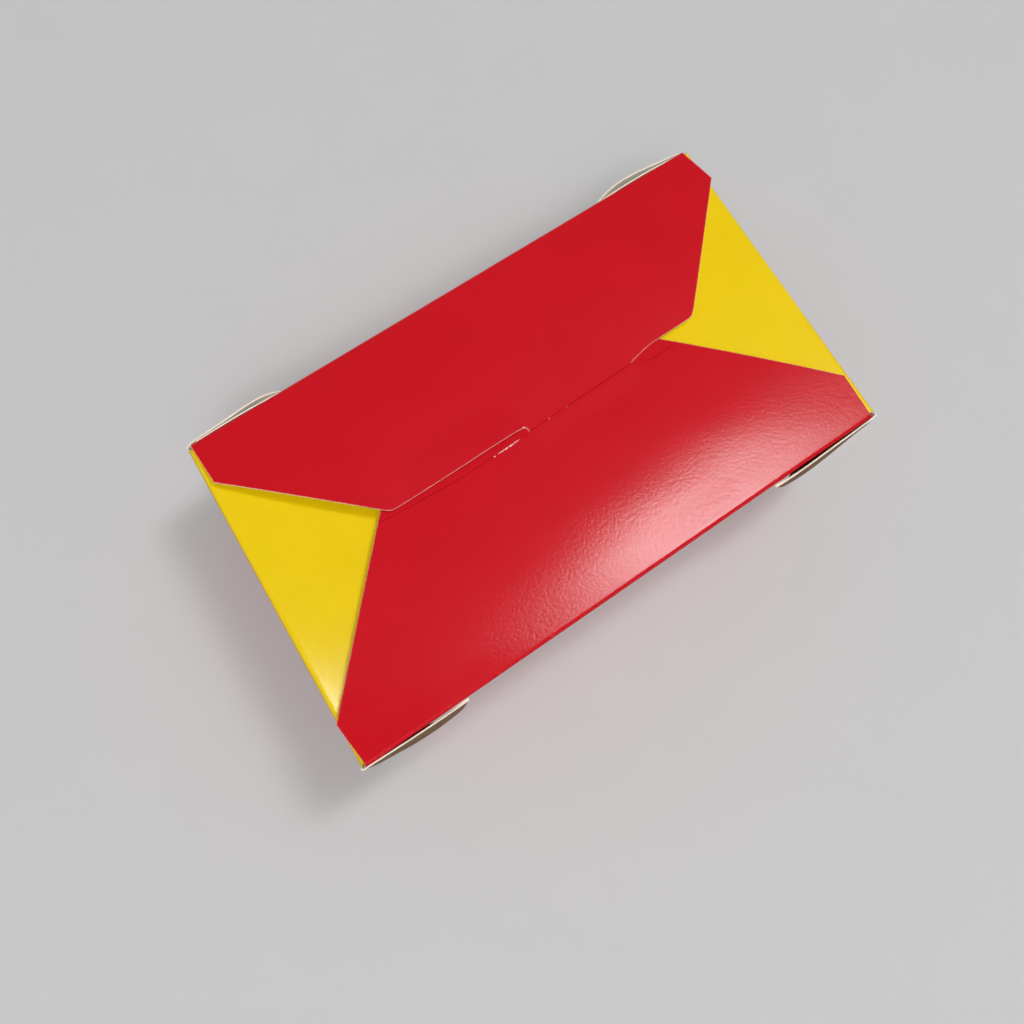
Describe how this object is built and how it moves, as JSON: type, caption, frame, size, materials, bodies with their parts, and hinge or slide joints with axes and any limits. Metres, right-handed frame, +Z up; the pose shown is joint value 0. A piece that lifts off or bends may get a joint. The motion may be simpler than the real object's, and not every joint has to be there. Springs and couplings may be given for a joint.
{
  "type": "noodle takeaway box",
  "caption": "Shut folded paperboard takeaway box with leaning walls, webbed corners and overlapping top flaps locked by a tucked tongue, for carrying a noodle meal.",
  "frame": {"origin": "on the surface the box stands on, under the middle of its base", "axes": "+Z up, +X along the long sides towards the end the tongue is nearer to, +Y towards the long side that carries the upper flap"},
  "size_m": [0.2093, 0.1197, 0.0605],
  "materials": {
    "red_print": "satin",
    "yellow_print": "satin",
    "bare_board": "matte"
  },
  "bodies": {
    "root": {"carton": "red_print"}
  },
  "joints": []
}
